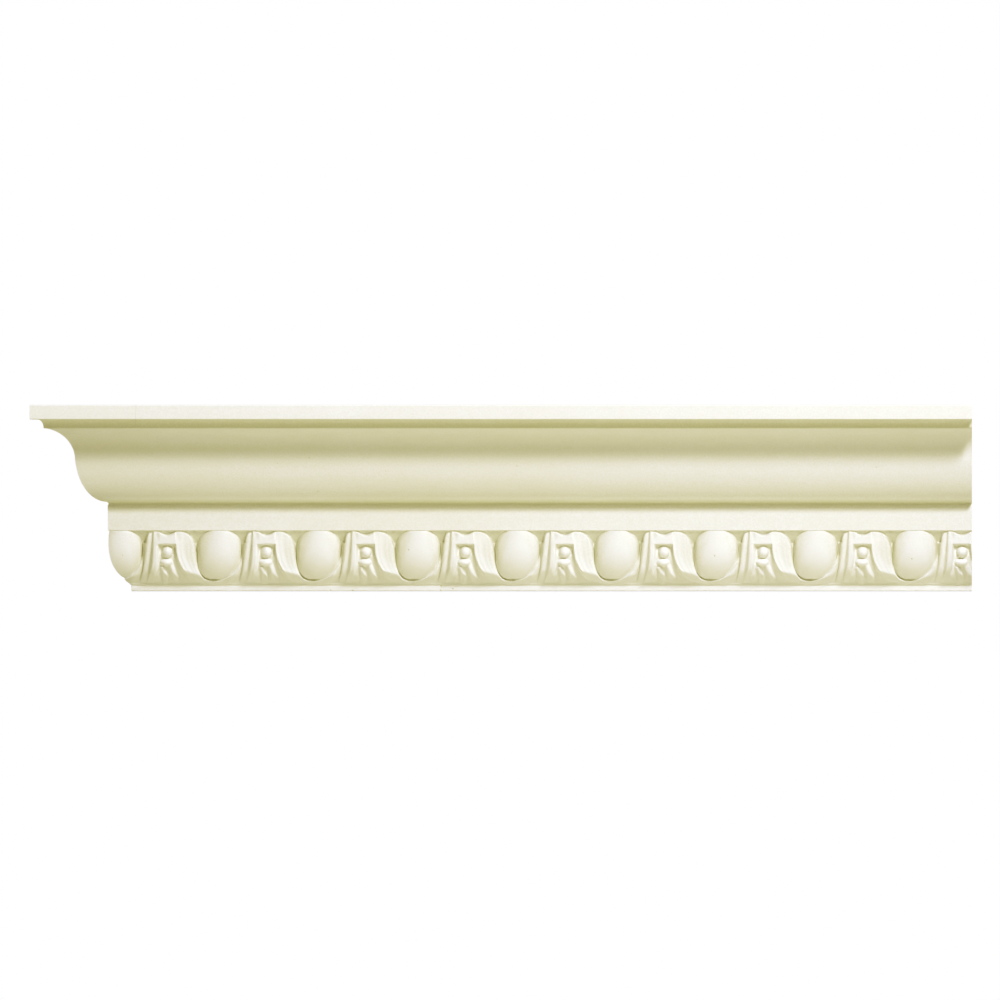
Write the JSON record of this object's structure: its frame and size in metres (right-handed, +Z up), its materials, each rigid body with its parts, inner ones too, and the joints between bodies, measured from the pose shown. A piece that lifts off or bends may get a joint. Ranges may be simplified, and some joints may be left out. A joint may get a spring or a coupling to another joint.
{
  "type": "cornice moulding section",
  "caption": "Length of moulded cornice with a cove and ovolo above an egg-and-dart band, mitred at its left end and cut square at its right.",
  "frame": {"origin": "middle of the flat wall face at the foot of the back", "axes": "+X along the moulding, towards its square end; +Y into the wall, so the room is at -Y; +Z up, towards the ceiling"},
  "size_m": [0.5056, 0.0666, 0.1],
  "materials": {
    "moulding": "off-white factory primer on rigid foam, matt, with a fine grain"
  },
  "bodies": {
    "root": {"cornice_moulding": "moulding"}
  },
  "joints": []
}
